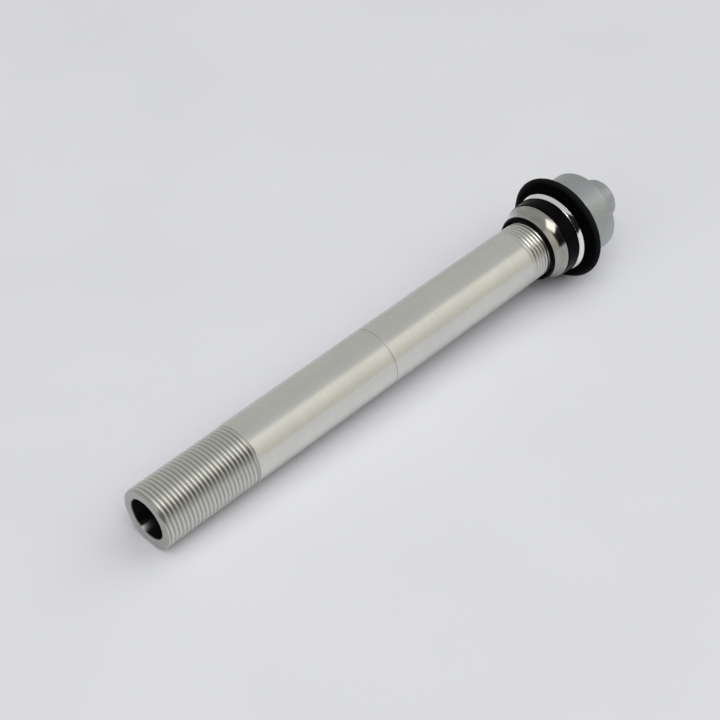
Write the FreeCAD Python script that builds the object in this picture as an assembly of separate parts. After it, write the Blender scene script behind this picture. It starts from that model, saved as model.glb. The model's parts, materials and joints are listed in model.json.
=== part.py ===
import FreeCAD, Part
import math
import os

# Hub axle of a bicycle's rear wheel with its drive-side cone, seal and end nut, in millimetres.
# Every piece is turned about the axle's own line, measured from the free thread end towards the nub.
# The finished set is then tipped to lie as it comes to rest, on the seal's lip and the free thread's end.

# Axle tube, a little thicker than its threads
thread_d = 14.0
thread_chamfer = 0.35
free_thread_len = 24.0
relief_len = 0.5
relief_depth = 0.5
tube_step = 0.1
shoulder_chamfer = 0.2
bore_d = 9.6
bore_chamfer = 0.15
plain_len = 84.8
turned_line_at = 39.8
turned_line_w = 0.24
turned_line_depth = 0.05
bare_thread_len = 5.8
axle_end_gap = 0.5

# Bearing cone, thickest at the seal's seat, with a hollow polished throat in front of the seal
thread_fit = 0.02
cone_mouth_chamfer = 0.45
nose_face_w = 0.45
nose_chamfer_len = 0.6
nose_chamfer_rise = 0.33
race_len = 3.35
race_r = 5.0
race_edge_len = 0.35
race_edge_drop = 0.18
band_len = 3.05
band_depth = 0.3
band_taper = 0.17
seat_d = 20.1
seat_len = 5.05
seat_chamfer = 0.15
throat_depth = 0.75
throat_bow = 0.21

# Lip seal, set back from the front of its seat
seal_fit = 0.02
seal_set_back = 1.55
seal_mouth_w = 0.35
seal_lip_reach = 2.83
seal_lip_back = 2.4
seal_lip_bulge = 0.35
seal_rim_w = 0.4
seal_rim_chamfer = 0.3
seal_foot_h = 1.15
seal_foot_len = 1.3
seal_flat = 0.04

# End nut with its nub
nut_drop = 0.05
nut_len = 6.9
nut_wall = 1.5
nut_inner_chamfer = 0.4
nut_outer_chamfer = 0.35
nub_d = 10.0
nub_len = 7.0
nub_chamfer = 0.5
nub_root_w = 0.5
skewer_hole_d = 5.6
skewer_chamfer = 0.3
groove_count = 36
groove_depth = 0.3
groove_half_angle = 45.0

# Lock washer between the cone and the nut
washer_t = 1.2
washer_ring_w = 2.3

# Places along the axle's line, from the free thread end
relief_start = free_thread_len
shoulder = relief_start + relief_len
turned_line = shoulder + turned_line_at
far_thread = shoulder + plain_len
nose = far_thread + bare_thread_len
race_start = nose + nose_chamfer_len
race_end = race_start + race_len
band_start = race_end + race_edge_len
seat_start = band_start + band_len
cone_end = seat_start + seat_len
seal_front = seat_start + seal_set_back
seal_rim = seal_front + seal_lip_back
nut_start = cone_end + washer_t
nut_face = nut_start + nut_len
socket_end = nut_face - nut_wall
axle_end = socket_end - axle_end_gap
nub_end = nut_face + nub_len

# Radii that several pieces share
thread_r = thread_d / 2
screwed_r = thread_r + thread_fit
seat_r = seat_d / 2
seal_bore_r = seat_r + seal_fit
seal_lip_r = seal_bore_r + seal_lip_reach
nut_r = seat_r - nut_drop
nub_r = nub_d / 2


def point(along, radius):
    return FreeCAD.Vector(along, 0, radius)


def turned(outline):
    # A step of two numbers is a corner, and one of four is an arc: a point on it and its end.
    edges = []
    start = point(*outline[0])
    for step in outline[1:] + outline[:1]:
        end = point(*step[-2:])
        if len(step) == 4:
            edges.append(Part.Arc(start, point(*step[:2]), end).toShape())
        else:
            edges.append(Part.LineSegment(start, end).toShape())
        start = end
    face = Part.Face(Part.Wire(edges))
    solid = face.revolve(FreeCAD.Vector(), FreeCAD.Vector(1, 0, 0), 360)
    return Part.Solid(solid.Shells[0])


def bowed(start, end, height):
    # Arc between two corners that stands off its chord by height, to the left of the way it runs.
    chord_x = end[0] - start[0]
    chord_r = end[1] - start[1]
    chord = math.hypot(chord_x, chord_r)
    middle_x = (start[0] + end[0]) / 2 - chord_r / chord * height
    middle_r = (start[1] + end[1]) / 2 + chord_x / chord * height
    return middle_x, middle_r, end[0], end[1]


def make_axle():
    tube_r = thread_r + tube_step
    relief_r = thread_r - relief_depth
    bore_r = bore_d / 2
    line_half = turned_line_w / 2
    return turned([
        (0, bore_r + bore_chamfer),
        (0, thread_r - thread_chamfer),
        (thread_chamfer, thread_r),
        (relief_start, thread_r),
        (relief_start, relief_r),
        (shoulder, relief_r),
        (shoulder, tube_r - shoulder_chamfer),
        (shoulder + shoulder_chamfer, tube_r),
        (turned_line - line_half, tube_r),
        (turned_line, tube_r - turned_line_depth),
        (turned_line + line_half, tube_r),
        (far_thread, tube_r),
        (far_thread, thread_r),
        (axle_end - thread_chamfer, thread_r),
        (axle_end, thread_r - thread_chamfer),
        (axle_end, bore_r),
        (bore_chamfer, bore_r),
    ])


def make_bearing_cone():
    mouth_r = screwed_r + cone_mouth_chamfer
    nose_r = mouth_r + nose_face_w
    band_r = seat_r - band_depth
    throat_low = (seat_start, seat_r - throat_depth)
    throat_high = (seal_front, seat_r)
    race_low = (race_start, nose_r + nose_chamfer_rise)
    band_front_r = band_r - band_taper
    race_high = (race_end, band_front_r - race_edge_drop)
    half_chord = math.dist(race_low, race_high) / 2
    race_depth = race_r - math.sqrt(race_r ** 2 - half_chord ** 2)
    return turned([
        (nose + cone_mouth_chamfer, screwed_r),
        (nose, mouth_r),
        (nose, nose_r),
        race_low,
        bowed(race_low, race_high, -race_depth),
        (band_start, band_front_r),
        (seat_start, band_r),
        throat_low,
        bowed(throat_low, throat_high, -throat_bow),
        (cone_end - seat_chamfer, seat_r),
        (cone_end, seat_r - seat_chamfer),
        (cone_end, screwed_r),
    ])


def make_lip_seal():
    foot_r = seal_bore_r + seal_foot_h
    rim_front = seal_rim - seal_rim_w / 2
    rim_back = seal_rim + seal_rim_w / 2
    edge_r = seal_lip_r - seal_rim_chamfer
    mouth = (seal_front, seal_bore_r + seal_mouth_w)
    lip_edge = (rim_front - seal_rim_chamfer, edge_r)
    return turned([
        (seal_front, seal_bore_r),
        mouth,
        bowed(mouth, lip_edge, seal_lip_bulge),
        (rim_front, seal_lip_r),
        (rim_back, seal_lip_r),
        (rim_back + seal_rim_chamfer, edge_r),
        (cone_end - seal_foot_len, foot_r),
        (cone_end, foot_r),
        (cone_end, seal_bore_r),
    ])


def make_lock_washer():
    washer_r = screwed_r + washer_ring_w
    return turned([
        (cone_end, screwed_r),
        (cone_end, washer_r),
        (nut_start, washer_r),
        (nut_start, screwed_r),
    ])


def face_grooves():
    # One V groove across the nut's outer face, standing twice its depth, copied round the axle's line.
    half_w = groove_depth * math.tan(math.radians(groove_half_angle))
    top = nut_face + groove_depth
    corners = [
        FreeCAD.Vector(top, -2 * half_w, 0),
        FreeCAD.Vector(top, 2 * half_w, 0),
        FreeCAD.Vector(nut_face - groove_depth, 0, 0),
    ]
    groove = Part.Face(Part.makePolygon(corners + corners[:1])).extrude(FreeCAD.Vector(0, 0, nut_r))
    groove.translate(FreeCAD.Vector(0, 0, nub_r + nub_root_w))
    grooves = []
    for number in range(groove_count):
        copy = groove.copy()
        copy.rotate(FreeCAD.Vector(), FreeCAD.Vector(1, 0, 0), 360 * number / groove_count)
        grooves.append(copy)
    return Part.makeCompound(grooves)


def make_end_nut():
    hole_r = skewer_hole_d / 2
    body = turned([
        (nut_start, screwed_r + nut_inner_chamfer),
        (nut_start, nut_r - nut_inner_chamfer),
        (nut_start + nut_inner_chamfer, nut_r),
        (nut_face - nut_outer_chamfer, nut_r),
        (nut_face, nut_r - nut_outer_chamfer),
        (nut_face, nub_r),
        (nub_end - nub_chamfer, nub_r),
        (nub_end, nub_r - nub_chamfer),
        (nub_end, hole_r + skewer_chamfer),
        (nub_end - skewer_chamfer, hole_r),
        (socket_end, hole_r),
        (socket_end, screwed_r),
        (nut_start + nut_inner_chamfer, screwed_r),
    ])
    return body.cut(face_grooves())


# The set rests on two circles, the crest at the free thread's end and the seal's slightly pressed rim.
resting_lip_r = seal_lip_r - seal_flat
resting_lip = seal_rim - seal_rim_w / 2
rest_tilt = math.atan2(resting_lip_r - thread_r, resting_lip - thread_chamfer)
lift = thread_r * math.cos(rest_tilt) - thread_chamfer * math.sin(rest_tilt)

# The origin is under the middle of the whole length, on the surface that the axle lies on.
low_x = -(thread_r - thread_chamfer) * math.sin(rest_tilt)
high_x = nub_end * math.cos(rest_tilt) + (nub_r - nub_chamfer) * math.sin(rest_tilt)
middle_x = (low_x + high_x) / 2


def laid_down(solid):
    laid = solid.copy()
    laid.rotate(FreeCAD.Vector(), FreeCAD.Vector(0, 1, 0), -math.degrees(rest_tilt))
    laid.translate(FreeCAD.Vector(-middle_x, 0, lift))
    return laid


def pressed_flat(solid):
    # The soft lip is flat where it carries the axle's weight.
    under = Part.makeBox(nub_end, 2 * seal_lip_r, seal_lip_r)
    under.translate(FreeCAD.Vector(-middle_x, -seal_lip_r, -seal_lip_r))
    return solid.cut(under)


pieces = {
    "axle": laid_down(make_axle()),
    "bearing_cone": laid_down(make_bearing_cone()),
    "lip_seal": pressed_flat(laid_down(make_lip_seal())),
    "lock_washer": laid_down(make_lock_washer()),
    "end_nut": laid_down(make_end_nut()),
}

os.makedirs("parts", exist_ok=True)
for node, solid in pieces.items():
    solid.exportStep(f"parts/{node}.step")
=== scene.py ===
import json
import math

import bmesh
import bpy
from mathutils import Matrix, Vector


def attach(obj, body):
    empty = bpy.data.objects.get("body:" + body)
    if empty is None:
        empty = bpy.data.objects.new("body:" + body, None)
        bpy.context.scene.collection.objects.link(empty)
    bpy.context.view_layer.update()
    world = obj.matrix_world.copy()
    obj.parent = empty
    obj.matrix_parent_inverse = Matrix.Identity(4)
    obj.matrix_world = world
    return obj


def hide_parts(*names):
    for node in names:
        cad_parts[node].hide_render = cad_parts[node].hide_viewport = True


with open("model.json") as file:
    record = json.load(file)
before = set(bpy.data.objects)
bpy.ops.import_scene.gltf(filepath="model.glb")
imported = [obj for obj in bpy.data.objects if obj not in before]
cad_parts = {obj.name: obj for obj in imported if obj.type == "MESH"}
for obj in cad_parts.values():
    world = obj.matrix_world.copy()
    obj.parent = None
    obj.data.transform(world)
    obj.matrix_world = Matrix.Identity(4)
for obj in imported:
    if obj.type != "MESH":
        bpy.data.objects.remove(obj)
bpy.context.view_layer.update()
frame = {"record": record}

mounts = {mount["name"]: mount for mount in frame["record"]["mounts"]}
MM = 0.001

# Sizes of the axle in millimetres, along its line from the free thread's end
THREAD_R = 7.0
THREAD_CHAMFER = 0.35
THREAD_PITCH = 1.0
THREAD_DEPTH = 0.32
FREE_THREAD_END = 24.0
SHOULDER = 24.5
SHOULDER_CHAMFER = 0.2
RELIEF_R = 6.8
TUBE_R = 7.1
TUBE_END_CHAMFER = 0.1
TURNED_LINE = 64.3
TURNED_LINE_W = 0.24
TURNED_LINE_DEPTH = 0.05
FAR_THREAD = 109.3
FAR_THREAD_DEPTH_SHARE = 0.6
FAR_THREAD_RUN_IN = 1.3
FAR_THREAD_RUN_OUT = 0.3
FAR_THREAD_HIDDEN = 116.3
AXLE_END = 133.6
BORE_R = 4.8
BORE_CHAMFER = 0.15

# One turn of the thread as (share of the pitch, share of the depth), from a round crest to the next
THREAD_FORM = [
    (0.0, 0.0), (0.1, 0.05), (0.2, 0.2), (0.28, 0.4), (0.36, 0.66), (0.44, 0.92),
    (0.5, 1.0), (0.56, 0.92), (0.64, 0.66), (0.72, 0.4), (0.8, 0.2), (0.9, 0.05),
]

# Sizes of the bearing cone
SCREWED_R = 7.02
NOSE = 115.1
NOSE_MOUTH_CHAMFER = 0.45
NOSE_R = 7.92
RACE_START = 115.7
RACE_START_R = 8.25
RACE_END = 119.05
RACE_END_R = 9.4
RACE_ARC_R = 5.0
BAND_START = 119.4
BAND_FRONT_R = 9.58
BAND_R = 9.75
SEAT_START = 122.45
SEAT_R = 10.05
SEAT_CHAMFER = 0.15
THROAT_R = 9.3
THROAT_FOOT = 123.25
THROAT_TOP = 124.05
THROAT_BOW = 0.03
CONE_END = 127.5
CONE_ROUNDING = 0.08

# Sizes of the lip seal and of the lock washer behind it
SEAL_FRONT = 124.0
SEAL_BORE_R = 10.07
SEAL_MOUTH_W = 0.35
SEAL_LIP_R = 12.898
SEAL_RIM = 126.4
SEAL_RIM_W = 0.4
SEAL_RIM_CHAMFER = 0.3
SEAL_BULGE = 0.35
SEAL_FOOT_R = 11.22
SEAL_FOOT_LEN = 1.3
SEAL_ROUNDING = 0.15
WASHER_R = 9.32
WASHER_ROUNDING = 0.1

# Sizes of the end nut
NUT_START = 128.7
NUT_R = 10.0
NUT_FACE = 135.6
NUT_INNER_CHAMFER = 0.4
NUT_OUTER_CHAMFER = 0.35
NUT_EDGE_RUN = 0.1
NUT_EDGE_DROP = 0.02
NUT_ROUNDING = 0.2
NUT_SOCKET_END = 134.1
NUB_R = 5.0
NUB_END = 142.6
NUB_CHAMFER = 0.5
NUB_ROOT_W = 0.5
SKEWER_R = 2.8
SKEWER_CHAMFER = 0.3
GROOVES = 36
GROOVE_DEPTH = 0.3
GROOVE_ROUNDING = 0.08

# Fineness of the meshes
SEGMENTS = 192
THREAD_SEGMENTS = 160
COLUMNS_PER_GROOVE = 6
RACE_STEPS = 24
THROAT_STEPS = 12
SEAL_STEPS = 12
CORNER_STEPS = 4
CORNER_ANGLE = math.radians(20)
CORNER_SHARE = 0.4
SUPPORT_MARGIN = 0.06
SHARP_ANGLE = math.radians(35)
WELD_DISTANCE = 1e-7

# The camera of the photograph: where it looks, from where, and its lens in millimetres
CAMERA_TARGET = (-0.00144, 0.00982, 0.0)
CAMERA_DISTANCE = 0.36314
CAMERA_TURN = math.radians(45.133)
CAMERA_DROP = math.radians(40.866)
CAMERA_LENS = 80.0
CAMERA_SENSOR = 36.0
CAMERA_CLIP = 0.01

# The floor, in metres to each side, and how far its clouds depart from its colour
FLOOR_HALF = 3.0
FLOOR_COLOUR = (0.70, 0.705, 0.73)
FLOOR_CLOUDS = 0.015

# Light of the room
WALL_COLOUR = (0.56, 0.565, 0.55)
ROOF_COLOUR = (0.52, 0.525, 0.515)
WARM_LOW_COLOUR = (0.64, 0.62, 0.56)
WARM_HIGH_COLOUR = (0.88, 0.86, 0.79)
DOOR_COLOUR = (0.012, 0.011, 0.010)
SKY_COLOUR = (1.30, 1.30, 1.31)
SHADE_COLOUR = (0.08, 0.08, 0.09)

# Where the room's parts lie, in degrees: turn from +X towards +Y, rise above the floor, and pitch about the
# axle's line from the viewer's side over the top. Each is from, to and, if it has two ends, their softness.
WARM_TURN = (-87, -15, 6)
WARM_PITCH = (-30, 67, 12)
WARM_FADE = (0, 55)
DOOR_TURN = (-160, -88, 4)
DOOR_RISE = (3, 46, 4)
ROOF_FADE = (25, 60)
SKY_PITCH = (34, 112, 26)

# The lamp: its turn and rise in degrees, and its distance and size in metres
LAMP_TURN = -126
LAMP_RISE = 62
LAMP_DISTANCE = 1.2
LAMP_WIDTH = 0.80
LAMP_HEIGHT = 0.70
LAMP_WATTS = 3.4
LAMP_COLOUR = (1.0, 0.995, 0.97)

# Where the bore is painted dark as shade and where a painted highlight of the lamp lies along its bottom,
# in millimetres along the axle, away from the viewer and upwards. Each pair runs from a share of 0 to a
# share of 1.
BORE_PAINTED_SHADE = (0.15, 0.5)
HIGHLIGHT_NEAR_EDGE = (0.9, 2.1)
HIGHLIGHT_FAR_EDGE = (2.7, 2.4)
HIGHLIGHT_TOP = (0.0, -1.0)
HIGHLIGHT_REACH = (4.0, 0.3)
HIGHLIGHT_FADE_POWER = 4.0

# How far in from the seal's lip its painted sheen on the rim begins and is full
PAINTED_SHEEN_RIM = (0.7, 0.1)

# The part of a noise texture's range that is spread from 0 to 1
NOISE_RANGE = (0.3, 0.7)

# The axle's own line, read from the bore: its direction, and the centre of the free thread's end
bore = mounts["axle_bore"]
ALONG = -Vector(bore["axis"]).normalized()
START = Vector(bore["pos_m"]) - ALONG * (BORE_CHAMFER + bore["dims"]["length_mm"] / 2) * MM
SIDE = Vector((0, -1, 0))
UP = SIDE.cross(ALONG)
TILT = math.asin(ALONG.z)


def on_axle(along, radius, angle):
    around = UP * math.cos(angle) + SIDE * math.sin(angle)
    return START + (ALONG * along + around * radius) * MM


def bowed(start, end, height, finish, steps):
    # Points of an arc between two corners that stands off its chord by height, without its last point.
    chord_x = end[0] - start[0]
    chord_r = end[1] - start[1]
    chord = math.hypot(chord_x, chord_r)
    radius = (chord * chord / 4 + height * height) / (2 * abs(height))
    half = math.asin(chord / 2 / radius)
    sign = math.copysign(1, height)
    points = []
    for step in range(steps):
        turn = -half + 2 * half * step / steps
        across = radius * math.sin(turn) / chord + 0.5
        off = sign * radius * (math.cos(turn) - math.cos(half)) / chord
        along = start[0] + chord_x * across - chord_r * off
        points.append((along, start[1] + chord_r * across + chord_x * off, finish))
    return points


def softened(outline, size):
    # Rounds each real corner of a closed outline by a small curve.
    result = []
    for number, (along, radius, finish) in enumerate(outline):
        before = outline[number - 1]
        after = outline[(number + 1) % len(outline)]
        come = Vector((before[0] - along, before[1] - radius))
        go = Vector((after[0] - along, after[1] - radius))
        if come.angle(-go) < CORNER_ANGLE:
            result.append((along, radius, finish))
            continue
        corner = Vector((along, radius))
        first = corner + come.normalized() * min(size, come.length * CORNER_SHARE)
        last = corner + go.normalized() * min(size, go.length * CORNER_SHARE)
        for step in range(CORNER_STEPS + 1):
            t = step / CORNER_STEPS
            spot = first * (1 - t) ** 2 + corner * 2 * t * (1 - t) + last * t * t
            result.append((spot.x, spot.y, before[2] if t < 0.5 else finish))
    return result


def supported(outline, closed=True):
    # Adds a point near both ends of each longer stretch, which keeps the shading of a plain turned face.
    result = []
    for number, (along, radius, finish) in enumerate(outline):
        result.append((along, radius, finish))
        if number + 1 == len(outline) and not closed:
            break
        after = outline[(number + 1) % len(outline)]
        run = Vector((after[0] - along, after[1] - radius))
        if run.length > 4 * SUPPORT_MARGIN:
            margin = SUPPORT_MARGIN / run.length
            for share in (margin, 1 - margin):
                result.append((along + run.x * share, radius + run.y * share, finish))
    return result


class Turned:
    """A mesh of rings about the axle's line. A ring holds one (along, radius, angle) for each column."""

    def __init__(self, name, columns):
        self.name = name
        self.columns = columns
        self.points = []
        self.faces = []
        self.finishes = []

    def ring(self, spots):
        first = len(self.points)
        self.points.extend(on_axle(*spot) for spot in spots)
        return first

    def even_ring(self, along, radius):
        step = 2 * math.pi / self.columns
        return self.ring([(along, radius, step * column) for column in range(self.columns)])

    def face(self, corners, finish):
        self.faces.append(corners)
        self.finishes.append(finish)

    def band(self, low, high, finish):
        for column in range(self.columns):
            beside = (column + 1) % self.columns
            self.face((low + column, low + beside, high + beside, high + column), finish)

    def sleeve(self, before, finish, outline):
        # Rings one after the other from a ring that is there, each with the finish that follows it.
        for along, radius, next_finish in supported(outline, closed=False):
            here = self.even_ring(along, radius)
            self.band(before, here, finish)
            before, finish = here, next_finish
        return before, finish

    def build(self, materials):
        # Nothing reaches below the floor, where the soft lip is pressed flat.
        mesh = bpy.data.meshes.new(self.name)
        mesh.from_pydata([(p.x, p.y, max(p.z, 0.0)) for p in self.points], [], self.faces)
        names = list(materials)
        for name in names:
            mesh.materials.append(materials[name])
        for polygon, finish in zip(mesh.polygons, self.finishes):
            polygon.material_index = names.index(finish)
        work = bmesh.new()
        work.from_mesh(mesh)
        bmesh.ops.remove_doubles(work, verts=work.verts, dist=WELD_DISTANCE)
        bmesh.ops.dissolve_degenerate(work, edges=work.edges, dist=WELD_DISTANCE)
        bmesh.ops.recalc_face_normals(work, faces=work.faces)
        unroll(work)
        work.to_mesh(mesh)
        work.free()
        mesh.shade_smooth()
        mesh.set_sharp_from_angle(angle=SHARP_ANGLE)
        piece = bpy.data.objects.new(self.name, mesh)
        bpy.context.scene.collection.objects.link(piece)
        return piece


def unroll(work):
    # A map of the surface, with the length along the axle across it and once round the axle upwards.
    layer = work.loops.layers.uv.new("turning")
    for face in work.faces:
        turns = []
        for loop in face.loops:
            spot = loop.vert.co - START
            turns.append(math.atan2(spot.dot(SIDE), spot.dot(UP)) / (2 * math.pi) % 1.0)
        wraps = max(turns) - min(turns) > 0.5
        for loop, turn in zip(face.loops, turns):
            spot = loop.vert.co - START
            radial = (spot - ALONG * spot.dot(ALONG)).length
            across = (spot.dot(ALONG) + radial) / (2 * math.pi * THREAD_R * MM)
            loop[layer].uv = (across, turn + 1.0 if wraps and turn < 0.5 else turn)


def lathe(name, outline, materials):
    outline = supported(outline)
    surface = Turned(name, SEGMENTS)
    rings = [surface.even_ring(along, radius) for along, radius, finish in outline]
    for number, (along, radius, finish) in enumerate(outline):
        surface.band(rings[number], rings[(number + 1) % len(rings)], finish)
    return surface.build(materials)


def thread_depth(phase):
    phase -= math.floor(phase)
    form = THREAD_FORM + [(1.0, 0.0)]
    for (from_x, from_y), (to_x, to_y) in zip(form, form[1:]):
        if phase <= to_x:
            return from_y + (to_y - from_y) * (phase - from_x) / (to_x - from_x)
    return 0.0


def add_thread(surface, start, end, radius_at, finish):
    # Rows follow the helix, and those past an end gather on it. Gives the first and last ring.
    columns = surface.columns
    turns = math.ceil((end - start) / THREAD_PITCH) + 2
    rows = []
    for turn in range(turns + 1):
        rows.extend((turn - 1 + share) * THREAD_PITCH for share, depth in THREAD_FORM)
    firsts = []
    for row in rows:
        spots = []
        for column in range(columns):
            part = column / columns
            along = min(max(start + row + part * THREAD_PITCH, start), end)
            depth = thread_depth((along - start) / THREAD_PITCH - part) * THREAD_DEPTH
            spots.append((along, radius_at(along, depth), 2 * math.pi * part))
        firsts.append(surface.ring(spots))
    shift = len(THREAD_FORM)
    last = columns - 1
    for row in range(len(rows) - 1):
        low = firsts[row]
        high = firsts[row + 1]
        for column in range(last):
            surface.face((low + column, low + column + 1, high + column + 1, high + column), finish)
        if row + shift + 1 < len(rows):
            surface.face((low + last, firsts[row + shift], firsts[row + shift + 1], high + last), finish)
    return firsts[0], firsts[-1]


def free_thread_radius(along, depth):
    return min(THREAD_R - depth, THREAD_R - THREAD_CHAMFER + along)


def far_thread_radius(along, depth):
    run_in = min((along - FAR_THREAD) / FAR_THREAD_RUN_IN, 1.0)
    run_out = min(max((FAR_THREAD_HIDDEN - along) / FAR_THREAD_RUN_OUT, 0.0), 1.0)
    return THREAD_R - depth * FAR_THREAD_DEPTH_SHARE * run_in * run_out


def make_axle(materials):
    surface = Turned("axle_turned", THREAD_SEGMENTS)
    inner = surface.even_ring(0.0, BORE_R + BORE_CHAMFER)
    first, last = add_thread(surface, 0.0, FREE_THREAD_END, free_thread_radius, "thread")
    surface.band(inner, first, "face")
    line_half = TURNED_LINE_W / 2
    before, finish = surface.sleeve(last, "thread", [
        (FREE_THREAD_END, RELIEF_R, "face"),
        (SHOULDER, RELIEF_R, "tube"),
        (SHOULDER, TUBE_R - SHOULDER_CHAMFER, "tube"),
        (SHOULDER + SHOULDER_CHAMFER, TUBE_R, "tube"),
        (TURNED_LINE - line_half, TUBE_R, "line"),
        (TURNED_LINE, TUBE_R - TURNED_LINE_DEPTH, "line"),
        (TURNED_LINE + line_half, TUBE_R, "tube"),
        (FAR_THREAD - TUBE_END_CHAMFER, TUBE_R, "tube"),
    ])
    first, last = add_thread(surface, FAR_THREAD, FAR_THREAD_HIDDEN, far_thread_radius, "thread")
    surface.band(before, first, finish)
    before, finish = surface.sleeve(last, "thread", [
        (AXLE_END - THREAD_CHAMFER, THREAD_R, "thread"),
        (AXLE_END, THREAD_R - THREAD_CHAMFER, "face"),
        (AXLE_END, BORE_R, "bore"),
        (BORE_CHAMFER, BORE_R, "face"),
    ])
    surface.band(before, inner, finish)
    return surface.build(materials)


def make_cone(materials):
    race_low = (RACE_START, RACE_START_R)
    race_high = (RACE_END, RACE_END_R)
    half_chord = math.dist(race_low, race_high) / 2
    race_depth = RACE_ARC_R - math.sqrt(RACE_ARC_R ** 2 - half_chord ** 2)
    throat_low = (THROAT_FOOT, THROAT_R)
    throat_high = (THROAT_TOP, SEAT_R)
    outline = [
        (NOSE + NOSE_MOUTH_CHAMFER, SCREWED_R, "black"),
        (NOSE, SCREWED_R + NOSE_MOUTH_CHAMFER, "black"),
        (NOSE, NOSE_R, "black"),
        *bowed(race_low, race_high, -race_depth, "race", RACE_STEPS),
        (*race_high, "black"),
        (BAND_START, BAND_FRONT_R, "black"),
        (SEAT_START, BAND_R, "black"),
        (SEAT_START, THROAT_R, "black"),
        *bowed(throat_low, throat_high, -THROAT_BOW, "polish", THROAT_STEPS),
        (*throat_high, "polish"),
        (CONE_END - SEAT_CHAMFER, SEAT_R, "polish"),
        (CONE_END, SEAT_R - SEAT_CHAMFER, "polish"),
        (CONE_END, SCREWED_R, "polish"),
    ]
    return lathe("bearing_cone_turned", softened(outline, CONE_ROUNDING), materials)


def make_seal(materials):
    rim_front = SEAL_RIM - SEAL_RIM_W / 2
    rim_back = SEAL_RIM + SEAL_RIM_W / 2
    edge_r = SEAL_LIP_R - SEAL_RIM_CHAMFER
    mouth = (SEAL_FRONT, SEAL_BORE_R + SEAL_MOUTH_W)
    lip_edge = (rim_front - SEAL_RIM_CHAMFER, edge_r)
    outline = [
        (SEAL_FRONT, SEAL_BORE_R, "rubber"),
        *bowed(mouth, lip_edge, SEAL_BULGE, "rubber", SEAL_STEPS),
        (*lip_edge, "rubber"),
        (rim_front, SEAL_LIP_R, "rubber"),
        (rim_back, SEAL_LIP_R, "rubber"),
        (rim_back + SEAL_RIM_CHAMFER, edge_r, "rubber"),
        (CONE_END - SEAL_FOOT_LEN, SEAL_FOOT_R, "rubber"),
        (CONE_END, SEAL_FOOT_R, "rubber"),
        (CONE_END, SEAL_BORE_R, "rubber"),
    ]
    return lathe("lip_seal_moulded", softened(outline, SEAL_ROUNDING), materials)


def make_washer(materials):
    outline = [
        (CONE_END, SCREWED_R, "washer"),
        (CONE_END, WASHER_R, "washer"),
        (NUT_START, WASHER_R, "washer"),
        (NUT_START, SCREWED_R, "washer"),
    ]
    return lathe("lock_washer_pressed", softened(outline, WASHER_ROUNDING), materials)


def groove_ring(surface, along, radius, depth):
    # A ring of the nut's face. Each groove takes an edge, its bottom and an edge, then the land follows.
    half = math.asin(GROOVE_DEPTH / radius)
    step = 2 * math.pi / GROOVES
    lands = COLUMNS_PER_GROOVE - 3
    spots = []
    for groove in range(GROOVES):
        middle = groove * step
        spots.append((along, radius, middle - half))
        spots.append((along - depth, radius, middle))
        spots.append((along, radius, middle + half))
        for land in range(lands):
            share = (land + 1) / (lands + 1)
            spots.append((along, radius, middle + half + (step - 2 * half) * share))
    return surface.ring(spots)


def make_nut(materials):
    surface = Turned("end_nut_turned", GROOVES * COLUMNS_PER_GROOVE)
    run_out = NUT_OUTER_CHAMFER - GROOVE_DEPTH
    edge = NUT_FACE - NUT_OUTER_CHAMFER
    edge_r = NUT_R - NUT_OUTER_CHAMFER
    root_r = NUB_R + NUB_ROOT_W
    face_rings = [
        groove_ring(surface, along, radius, depth)
        for along, radius, depth in (
            (NUT_FACE - GROOVE_DEPTH, NUT_R - run_out, 0.0),
            (NUT_FACE - GROOVE_ROUNDING, edge_r + GROOVE_ROUNDING, GROOVE_DEPTH - GROOVE_ROUNDING),
            (NUT_FACE, edge_r - GROOVE_ROUNDING, GROOVE_DEPTH),
            (NUT_FACE, root_r, GROOVE_DEPTH),
            (NUT_FACE, root_r, 0.0),
        )
    ]
    for low, high in zip(face_rings, face_rings[1:]):
        surface.band(low, high, "zinc")
    outline = softened([
        (NUT_FACE, NUB_R, "zinc"),
        (NUB_END - NUB_CHAMFER, NUB_R, "zinc"),
        (NUB_END, NUB_R - NUB_CHAMFER, "zinc"),
        (NUB_END, SKEWER_R + SKEWER_CHAMFER, "zinc"),
        (NUB_END - SKEWER_CHAMFER, SKEWER_R, "zinc"),
        (NUT_SOCKET_END, SKEWER_R, "zinc"),
        (NUT_SOCKET_END, SCREWED_R, "zinc"),
        (NUT_START + NUT_INNER_CHAMFER, SCREWED_R, "zinc"),
        (NUT_START, SCREWED_R + NUT_INNER_CHAMFER, "zinc"),
        (NUT_START, NUT_R - NUT_INNER_CHAMFER, "zinc"),
        (NUT_START + NUT_INNER_CHAMFER, NUT_R, "zinc"),
        (edge - NUT_EDGE_RUN, NUT_R, "zinc"),
        (edge + NUT_EDGE_DROP, NUT_R - NUT_EDGE_DROP, "zinc"),
    ], NUT_ROUNDING)
    before, finish = surface.sleeve(face_rings[-1], "zinc", outline)
    surface.band(before, face_rings[0], finish)
    return surface.build(materials)


def feed(tree, node, name, value):
    # Sets an input of a node, or links it to the socket that its value comes from.
    if isinstance(value, bpy.types.NodeSocket):
        tree.links.new(value, node.inputs[name])
    else:
        node.inputs[name].default_value = value


def add_node(tree, kind, inputs=(), **settings):
    node = tree.nodes.new(kind)
    for name, value in settings.items():
        setattr(node, name, value)
    for name, value in dict(inputs).items():
        feed(tree, node, name, value)
    return node


def calculated(tree, operation, *values):
    return add_node(tree, "ShaderNodeMath", enumerate(values), operation=operation).outputs["Value"]


def product(tree, first, second):
    return calculated(tree, "MULTIPLY", first, second)


def degrees(tree, first, second):
    return calculated(tree, "DEGREES", calculated(tree, "ARCTAN2", first, second))


def scaled(tree, vector, scale):
    inputs = {0: vector, 1: scale}
    return add_node(tree, "ShaderNodeVectorMath", inputs, operation="MULTIPLY").outputs["Vector"]


def length(tree, vector):
    return add_node(tree, "ShaderNodeVectorMath", {0: vector}, operation="LENGTH").outputs["Value"]


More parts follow.
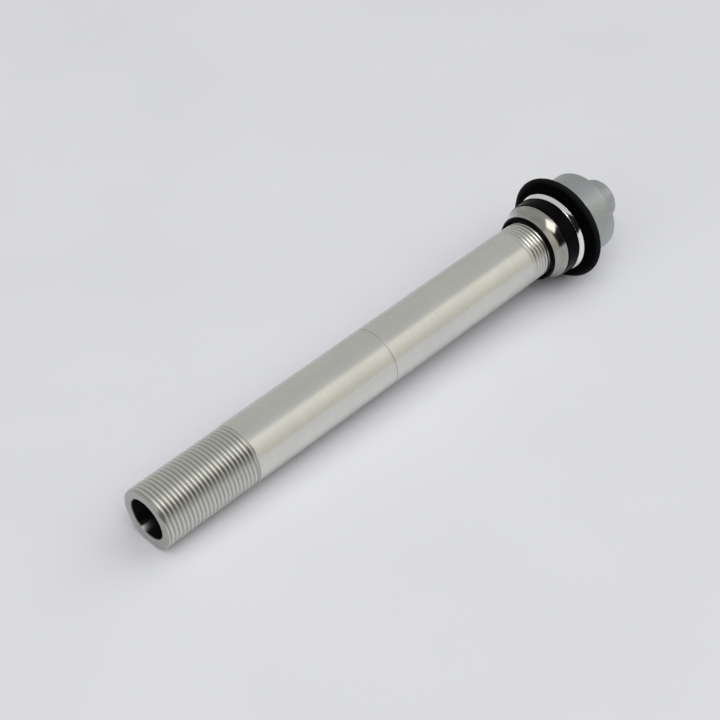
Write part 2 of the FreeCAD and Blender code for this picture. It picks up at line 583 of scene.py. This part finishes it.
def step_between(tree, value, low, high):
    span = add_node(tree, "ShaderNodeMapRange", {
        "Value": value, "From Min": low, "From Max": high,
    }, interpolation_type="SMOOTHSTEP")
    return span.outputs["Result"]


def window(tree, value, low, high, soft):
    # A share of 1 between two values and 0 outside them, with soft ends.
    after = step_between(tree, value, low - soft / 2, low + soft / 2)
    before = step_between(tree, value, high + soft / 2, high - soft / 2)
    return product(tree, after, before)


def mix_colours(tree, share, low, high):
    low = low if isinstance(low, bpy.types.NodeSocket) else (*low, 1)
    high = high if isinstance(high, bpy.types.NodeSocket) else (*high, 1)
    inputs = {"Fac": share, "Color1": low, "Color2": high}
    return add_node(tree, "ShaderNodeMixRGB", inputs).outputs["Color"]


class Finish:
    """A material in the axle's own frame, in millimetres along its line and to both sides of it."""

    def __init__(self, name, metallic, specular=0.5):
        self.material = bpy.data.materials.new(name)
        self.material.use_nodes = True
        self.tree = self.material.node_tree
        self.set("Metallic", metallic)
        self.set("Specular IOR Level", specular)
        spot = self.node("ShaderNodeTexCoord").outputs["Object"]
        self.place = self.node("ShaderNodeMapping", {
            "Vector": spot, "Location": START, "Rotation": (0, -TILT, 0), "Scale": (MM, MM, MM),
        }, vector_type="TEXTURE").outputs["Vector"]

    def node(self, kind, inputs=(), **settings):
        return add_node(self.tree, kind, inputs, **settings)

    def set(self, name, value):
        feed(self.tree, self.tree.nodes["Principled BSDF"], name, value)

    def ranged(self, value, low, high, to_low=0.0, to_high=1.0):
        span = self.node("ShaderNodeMapRange", {
            "Value": value, "From Min": low, "From Max": high, "To Min": to_low, "To Max": to_high,
        })
        return span.outputs["Result"]

    def spread(self, share, low, high):
        # From low to high as a share goes from 0 to 1.
        return self.ranged(share, 0, 1, low, high)

    def mixed(self, share, low, high):
        return mix_colours(self.tree, share, low, high)

    def colour(self, share, low, high):
        self.set("Base Color", self.mixed(share, low, high))

    def roughness(self, share, low, high):
        self.set("Roughness", self.spread(share, low, high))

    def radius(self):
        return length(self.tree, scaled(self.tree, self.place, (0, 1, 1)))

    def noise(self, along, across, detail=3.0):
        # Patches from 0 to 1, with so many to a millimetre along the axle and across it.
        cells = scaled(self.tree, self.place, (along, across, across))
        patches = self.node("ShaderNodeTexNoise", {"Vector": cells, "Scale": 1.0, "Detail": detail})
        return self.ranged(patches.outputs["Fac"], *NOISE_RANGE)

    def face_rings(self, per_mm):
        # Fine rings about the axle's line on a face across it.
        spot = self.node("ShaderNodeCombineXYZ", {"X": self.radius()}).outputs["Vector"]
        rings = self.node("ShaderNodeTexNoise", {"Vector": spot, "Scale": per_mm, "Detail": 2.0})
        return self.ranged(rings.outputs["Fac"], *NOISE_RANGE)

    def bump(self, height, depth):
        dents = self.node("ShaderNodeBump", {"Height": height, "Distance": depth * MM, "Strength": 1.0})
        self.set("Normal", dents.outputs["Normal"])

    def brushed(self, share):
        # Turning marks spread a reflection along the axle.
        tangent = self.node("ShaderNodeTangent", direction_type="UV_MAP", uv_map="turning")
        self.set("Anisotropic", share)
        self.set("Tangent", tangent.outputs["Tangent"])


def turned_alloy():
    finish = Finish("turned_alloy", metallic=1.0)
    marks = finish.noise(along=6.0, across=0.06)
    lines = finish.noise(along=3.2, across=0.05, detail=5.0)
    patches = finish.noise(along=0.10, across=0.22, detail=2.0)
    shade = finish.mixed(patches, (0.70, 0.70, 0.67), (0.74, 0.735, 0.695))
    finish.colour(finish.spread(lines, 0.0, 0.16), shade, (0.48, 0.48, 0.46))
    finish.roughness(lines, 0.23, 0.28)
    finish.set("Specular Tint", (0.8, 0.8, 0.78, 1))
    finish.bump(marks, depth=0.00045)
    finish.brushed(0.5)
    return finish.material


def thread_alloy():
    finish = Finish("thread_alloy", metallic=1.0)
    marks = finish.noise(along=3.0, across=0.5)
    # Painted shade: the colour darkens from the crests towards the thread's roots.
    height = finish.ranged(finish.radius(), THREAD_R - THREAD_DEPTH, THREAD_R)
    crest = finish.mixed(marks, (0.64, 0.635, 0.595), (0.70, 0.69, 0.65))
    finish.colour(height, (0.40, 0.395, 0.365), crest)
    finish.roughness(marks, 0.28, 0.33)
    finish.bump(marks, depth=0.0004)
    finish.brushed(0.3)
    return finish.material


def face_alloy():
    finish = Finish("face_alloy", metallic=1.0)
    rings = finish.face_rings(per_mm=7.0)
    finish.colour(rings, (0.44, 0.44, 0.42), (0.54, 0.535, 0.515))
    finish.roughness(rings, 0.36, 0.48)
    finish.bump(rings, depth=0.003)
    return finish.material


def line_alloy():
    finish = Finish("line_alloy", metallic=1.0)
    marks = finish.noise(along=1.0, across=0.6)
    finish.colour(marks, (0.40, 0.39, 0.365), (0.50, 0.485, 0.455))
    finish.roughness(marks, 0.40, 0.50)
    finish.bump(marks, depth=0.001)
    return finish.material


def bore_alloy():
    # Painted shade darkens the bore beyond a paler mouth, and a painted highlight where the lamp lights it
    # fades into the bore along its bottom.
    finish = Finish("bore_alloy", metallic=1.0)
    tree = finish.tree
    marks = finish.noise(along=2.5, across=0.3)
    place = finish.node("ShaderNodeSeparateXYZ", {"Vector": finish.place}).outputs
    painted_shade = finish.mixed(marks, (0.018, 0.018, 0.021), (0.03, 0.03, 0.033))
    # Painted shade: the wall darkens from the paler mouth into the bore.
    wall = finish.mixed(finish.ranged(place["X"], *BORE_PAINTED_SHADE), (0.40, 0.40, 0.37), painted_shade)
    # Painted highlight: a pale streak where the lamp lights the bottom of the bore near its mouth, fading
    # inwards.
    near_edge = finish.ranged(place["Y"], *HIGHLIGHT_NEAR_EDGE)
    far_edge = finish.ranged(place["Y"], *HIGHLIGHT_FAR_EDGE)
    under = finish.ranged(place["Z"], *HIGHLIGHT_TOP)
    reach = calculated(tree, "POWER", finish.ranged(place["X"], *HIGHLIGHT_REACH), HIGHLIGHT_FADE_POWER)
    width = product(tree, near_edge, far_edge)
    painted_highlight = product(tree, product(tree, width, under), reach)
    finish.colour(painted_highlight, wall, (0.92, 0.92, 0.86))
    finish.roughness(marks, 0.46, 0.56)
    finish.bump(marks, depth=0.001)
    finish.brushed(0.85)
    return finish.material


def black_oxide():
    finish = Finish("black_oxide", metallic=0.0, specular=0.035)
    patches = finish.noise(along=0.6, across=0.5)
    finish.colour(patches, (0.0010, 0.0010, 0.0013), (0.0024, 0.0024, 0.0028))
    finish.roughness(patches, 0.18, 0.28)
    finish.bump(finish.noise(along=5.0, across=4.0), depth=0.001)
    return finish.material


def ground_race():
    finish = Finish("ground_race", metallic=1.0)
    marks = finish.noise(along=8.0, across=0.25)
    patches = finish.noise(along=0.8, across=0.35, detail=2.0)
    finish.colour(patches, (0.35, 0.34, 0.31), (0.44, 0.43, 0.40))
    finish.roughness(marks, 0.11, 0.17)
    finish.bump(marks, depth=0.0003)
    finish.brushed(0.5)
    return finish.material


def polished_steel():
    finish = Finish("polished_steel", metallic=1.0)
    marks = finish.noise(along=6.0, across=0.2)
    finish.colour(marks, (0.87, 0.87, 0.86), (0.92, 0.92, 0.91))
    finish.roughness(marks, 0.04, 0.08)
    finish.bump(marks, depth=0.0002)
    return finish.material


def seal_rubber():
    # Deep black, with a painted sheen that makes the rim paler.
    finish = Finish("seal_rubber", metallic=0.0, specular=0.01)
    grain = finish.noise(along=3.0, across=3.0)
    rim_start, rim_full = PAINTED_SHEEN_RIM
    # Painted sheen: the colour grows paler towards the lip's rim.
    rim = finish.ranged(finish.radius(), SEAL_LIP_R - rim_start, SEAL_LIP_R - rim_full)
    face = finish.mixed(grain, (0.0006, 0.0006, 0.0007), (0.0014, 0.0014, 0.0014))
    finish.colour(rim, face, (0.0105, 0.0118, 0.0105))
    finish.roughness(grain, 0.42, 0.56)
    finish.bump(grain, depth=0.006)
    return finish.material


def washer_steel():
    finish = Finish("washer_steel", metallic=1.0)
    marks = finish.noise(along=2.0, across=2.0)
    finish.colour(marks, (0.46, 0.46, 0.45), (0.54, 0.54, 0.53))
    finish.roughness(marks, 0.28, 0.40)
    finish.bump(marks, depth=0.002)
    return finish.material


def zinc_plate():
    # Cloudy plating, greenish in one place and bluish in the next, with a faint warm blush.
    finish = Finish("zinc_plate", metallic=1.0)
    clouds = finish.noise(along=0.16, across=0.22, detail=2.0)
    grain = finish.noise(along=2.2, across=2.2)
    warm_spots = finish.noise(along=0.3, across=0.3, detail=2.0)
    blush = finish.ranged(warm_spots, 0.55, 1.0, to_low=0.0, to_high=0.45)
    plating = finish.mixed(clouds, (0.41, 0.45, 0.415), (0.475, 0.49, 0.555))
    tint = finish.mixed(blush, plating, (0.50, 0.47, 0.455))
    finish.colour(finish.spread(grain, 0.0, 0.25), tint, (0.37, 0.385, 0.385))
    finish.roughness(grain, 0.38, 0.48)
    finish.bump(grain, depth=0.003)
    finish.brushed(0.5)
    return finish.material


def floor_paper():
    finish = Finish("floor_paper", metallic=0.0, specular=0.2)
    clouds = finish.noise(along=0.02, across=0.02, detail=2.0)
    grain = finish.noise(along=3.0, across=3.0)
    low = tuple((1 - FLOOR_CLOUDS) * part for part in FLOOR_COLOUR)
    high = tuple((1 + FLOOR_CLOUDS) * part for part in FLOOR_COLOUR)
    finish.colour(clouds, low, high)
    finish.roughness(grain, 0.82, 0.95)
    finish.bump(grain, depth=0.004)
    return finish.material


def make_floor():
    half = FLOOR_HALF
    corners = [(-half, -half, 0), (half, -half, 0), (half, half, 0), (-half, half, 0)]
    mesh = bpy.data.meshes.new("floor")
    mesh.from_pydata(corners, [], [(0, 1, 2, 3)])
    mesh.materials.append(floor_paper())
    floor = bpy.data.objects.new("floor", mesh)
    bpy.context.scene.collection.objects.link(floor)


def make_world():
    # Metal sees pale walls, a warm wall and a dark door. Paper is lit from above, from the viewer's side.
    world = bpy.data.worlds.new("studio")
    bpy.context.scene.world = world
    world.use_nodes = True
    tree = world.node_tree
    ray = add_node(tree, "ShaderNodeTexCoord").outputs["Generated"]
    parts = add_node(tree, "ShaderNodeSeparateXYZ", {"Vector": ray}).outputs
    turn = degrees(tree, parts["Y"], parts["X"])
    rise = degrees(tree, parts["Z"], length(tree, scaled(tree, ray, (1, 1, 0))))
    pitch = degrees(tree, parts["Z"], product(tree, parts["Y"], -1.0))

    warm = mix_colours(tree, step_between(tree, pitch, *WARM_FADE), WARM_LOW_COLOUR, WARM_HIGH_COLOUR)
    warm_share = product(tree, window(tree, turn, *WARM_TURN), window(tree, pitch, *WARM_PITCH))
    door_share = product(tree, window(tree, turn, *DOOR_TURN), window(tree, rise, *DOOR_RISE))
    room = mix_colours(tree, step_between(tree, rise, *ROOF_FADE), WALL_COLOUR, ROOF_COLOUR)
    room = mix_colours(tree, warm_share, room, warm)
    room = mix_colours(tree, door_share, room, DOOR_COLOUR)
    sky = mix_colours(tree, window(tree, pitch, *SKY_PITCH), SHADE_COLOUR, SKY_COLOUR)

    # The room is for rays that metal mirrors straight on, and not after paper has scattered them.
    path = add_node(tree, "ShaderNodeLightPath").outputs
    unscattered = calculated(tree, "LESS_THAN", path["Diffuse Depth"], 0.5)
    mirrored = product(tree, path["Is Glossy Ray"], unscattered)
    seen = mix_colours(tree, mirrored, sky, room)
    seen = mix_colours(tree, path["Is Camera Ray"], seen, FLOOR_COLOUR)
    background = tree.nodes["Background"]
    feed(tree, background, "Color", seen)
    feed(tree, background, "Strength", 1.0)


def make_lamp():
    turn = math.radians(LAMP_TURN)
    rise = math.radians(LAMP_RISE)
    towards = Vector((math.cos(turn) * math.cos(rise), math.sin(turn) * math.cos(rise), math.sin(rise)))
    data = bpy.data.lights.new("lamp", "AREA")
    data.shape = "RECTANGLE"
    data.size = LAMP_WIDTH
    data.size_y = LAMP_HEIGHT
    data.energy = LAMP_WATTS
    data.color = LAMP_COLOUR
    lamp = bpy.data.objects.new("lamp", data)
    lamp.location = towards * LAMP_DISTANCE
    lamp.rotation_euler = (-towards).to_track_quat("-Z", "Y").to_euler()
    bpy.context.scene.collection.objects.link(lamp)


def set_up_camera():
    look = Vector((
        math.sin(CAMERA_TURN) * math.cos(CAMERA_DROP),
        math.cos(CAMERA_TURN) * math.cos(CAMERA_DROP),
        -math.sin(CAMERA_DROP),
    ))
    data = bpy.data.cameras.new("photo_camera")
    data.lens = CAMERA_LENS
    data.sensor_width = CAMERA_SENSOR
    data.clip_start = CAMERA_CLIP
    camera = bpy.data.objects.new("photo_camera", data)
    camera.location = Vector(CAMERA_TARGET) - look * CAMERA_DISTANCE
    camera.rotation_euler = look.to_track_quat("-Z", "Y").to_euler()
    bpy.context.scene.collection.objects.link(camera)
    bpy.context.scene.camera = camera


axle_finishes = {
    "tube": turned_alloy(),
    "thread": thread_alloy(),
    "face": face_alloy(),
    "line": line_alloy(),
    "bore": bore_alloy(),
}
cone_finishes = {"black": black_oxide(), "race": ground_race(), "polish": polished_steel()}

for piece, node, slot in (
    (make_axle(axle_finishes), "axle", "axle_alloy"),
    (make_cone(cone_finishes), "bearing_cone", "cone_steel"),
    (make_seal({"rubber": seal_rubber()}), "lip_seal", "seal_rubber"),
    (make_washer({"washer": washer_steel()}), "lock_washer", "washer_steel"),
    (make_nut({"zinc": zinc_plate()}), "end_nut", "nut_zinc"),
):
    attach(piece, "root")
    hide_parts(node)

make_floor()
make_world()
make_lamp()
set_up_camera()
bpy.context.scene.view_settings.view_transform = "Standard"
